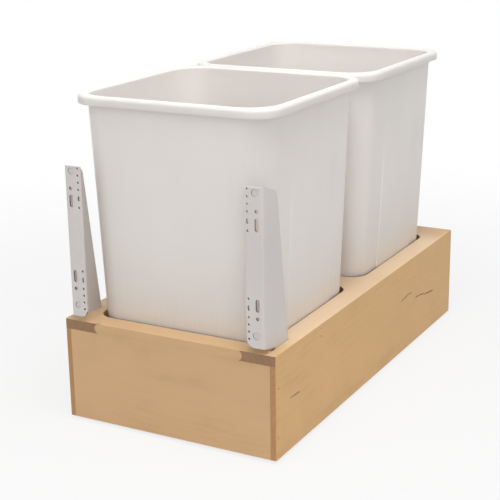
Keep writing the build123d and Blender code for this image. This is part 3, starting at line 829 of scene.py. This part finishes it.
def photo_camera():
    """The camera at the photograph's place."""
    azimuth, elevation, roll = 0.50005, 0.2939, -0.01427
    level = math.cos(elevation)
    ahead = Vector((-math.sin(azimuth) * level, math.cos(azimuth) * level, -math.sin(elevation)))
    right = Vector((math.cos(azimuth), math.sin(azimuth), 0))
    up = right.cross(ahead)
    side = right * math.cos(roll) + up * math.sin(roll)
    top = right * -math.sin(roll) + up * math.cos(roll)
    lens = bpy.data.cameras.new("photo_camera")
    lens.lens = 88.776
    lens.sensor_width = 36
    lens.shift_x = -0.0027838
    lens.shift_y = 0.0048175
    lens.clip_start = 0.01
    camera = bpy.data.objects.new("photo_camera", lens)
    turned = Matrix((side, top, -ahead)).transposed().to_4x4()
    camera.matrix_world = Matrix.Translation((0.7141573, -1.3807053, 0.622734)) @ turned
    bpy.context.scene.collection.objects.link(camera)
    bpy.context.scene.camera = camera


def lamp(name, place, target, size, power):
    """A soft square lamp that points at a target."""
    light = bpy.data.lights.new(name, "AREA")
    light.shape = "SQUARE"
    light.size = size
    light.energy = power
    made = bpy.data.objects.new(name, light)
    aim = (Vector(target) - Vector(place)).to_track_quat("-Z", "Y").to_matrix().to_4x4()
    made.matrix_world = Matrix.Translation(place) @ aim
    bpy.context.scene.collection.objects.link(made)


def studio():
    """Soft light all round, a strong small lamp above and in front, and four weaker ones."""
    world = bpy.data.worlds.new("studio")
    bpy.context.scene.world = world
    world.use_nodes = True
    room = Tree(world.node_tree)
    path = room.node("ShaderNodeLightPath", {}, {}, "Is Camera Ray")
    mirrored, through = path.other("Is Glossy Ray"), path.other("Is Transmission Ray")
    seen = path.larger(mirrored).larger(through)
    white = room.node("ShaderNodeBackground", {}, {"Color": (1, 1, 1, 1), "Strength": 1.0})
    soft = room.node("ShaderNodeBackground", {}, {"Color": (1, 1, 1, 1), "Strength": 0.50})
    both = room.node("ShaderNodeMixShader", {}, {0: seen, 1: soft, 2: white})
    room.node("ShaderNodeOutputWorld", {}, {"Surface": both})
    lamp("top_lamp", (0.28, -0.42, 1.6), (0, -0.03, 0.25), 0.6, 11.5)
    lamp("high_front_lamp", (0.25, -1.35, 1.9), (0, 0, 0.25), 0.9, 5.5)
    lamp("front_right_lamp", (1.8, -2.0, 1.1), (0, 0, 0.2), 1.2, 7)
    lamp("right_lamp", (2.1, 0.3, 1.7), (0, 0, 0.15), 1.2, 2)
    lamp("front_left_lamp", (-1.4, -2.0, 1.3), (0, 0, 0.15), 1.4, 2.5)
    mesh = bmesh.new()
    corners = ((-12, -12), (12, -12), (12, 12), (-12, 12))
    mesh.faces.new([mesh.verts.new((x, y, 0)) for x, y in corners])
    floor = piece("white_floor", mesh)
    wear(floor, pale_floor())


def wood_finishes():
    """The boards' finishes, each with the run of its grain."""
    end_board = maple("maple_end_board", along=0, across=2, heart=(96, -330),
                      shade=(0.96, 0.94, 0.98))
    side_board = maple("maple_side_board", along=1, across=2, heart=(40, 190),
                       shade=(1.05, 0.985, 0.86), end_share=1.28, marks=side_marks,
                       lit_top_stretch=lit_top_ends)
    deck = maple("maple_deck", along=1, across=0, heart=(30, 30), shade=(0.91, 0.93, 1.03),
                 lit_top_stretch=lit_top_ends, flank=(1.165, 1.053, 0.806))
    panel = maple("maple_bottom_panel", along=1, across=0, heart=(-40, 10),
                  shade=(1.03, 1.0, 0.98))
    return {"maple_front": end_board, "maple_side": side_board, "maple_deck": deck,
            "bottom_panel": panel}


def plastic_finishes():
    """The bins' four whites, three of them copies with painted light and shade, and the black
    rubber and plastic.
    """
    outside = moulded_white("moulded_white_outside", tone(242, 236, 231), 0.35, gap_shade=0.55)
    # Painted shade: the lip is a darker copy of the same white, toned down where the lamps above
    # light it strongly.
    lip = moulded_white("moulded_white_lip", tone(219, 215, 209), 0.15, shine=0.1)
    # Painted light: the inside is a brighter, pure white copy of the same plastic.
    inside = moulded_white("moulded_white_inside", tone(251, 255, 255), 0.15, milky=0.0)
    # Painted highlight: a near white copy on the faces that step out at the side panels' ends.
    edge = moulded_white("rubbed_white_edge", tone(254, 254, 252), 0.1, gap_shade=0.55)
    rubber = dark_moulding("bumper_rubber", (0.03, 0.03, 0.03), 0.55, 0.8)
    black = dark_moulding("lever_plastic", (0.028, 0.028, 0.032), 0.36, 0.5)
    return {"white_plastic": outside, "bin_lip_shaded": lip, "bin_inside_lit": inside, "bin_edge_highlight": edge,
            "bumper_rubber": rubber, "dark_plastic": black}


def metal_finishes():
    """The brackets' coat, the slides' zinc and the bare metals."""
    return {"bracket_paint": powder_coat("bracket_powder_coat", tone(219, 213, 210)),
            "zinc_steel": zinc_plate("zinc_plated_steel", tone(172, 176, 182)),
            "rivet_aluminium": bright_metal("rivet_aluminium", tone(214, 214, 216), 0.28),
            "ball_steel": bright_metal("polished_ball_steel", tone(226, 226, 230), 0.08),
            "frame_brads": bright_metal("sunk_brad_steel", tone(92, 78, 64), 0.5)}


def finish_nodes():
    """Gives every carried-over piece its slot's finish, or its own where it has one."""
    finishes = wood_finishes() | metal_finishes() | plastic_finishes()
    for row in frame["record"]["subparts"]:
        node = row["node"]
        wear(frame["nodes"][node], finishes.get(node) or finishes[row["material_slot"]])
    return finishes


finishes = finish_nodes()
# The bins' outside white, then its copies with painted light, painted highlight and painted shade.
bin_whites = ("white_plastic", "bin_inside_lit", "bin_edge_highlight", "bin_lip_shaded")
moulded_bins([finishes[name] for name in bin_whites])
all_fasteners(finishes)
photo_camera()
studio()
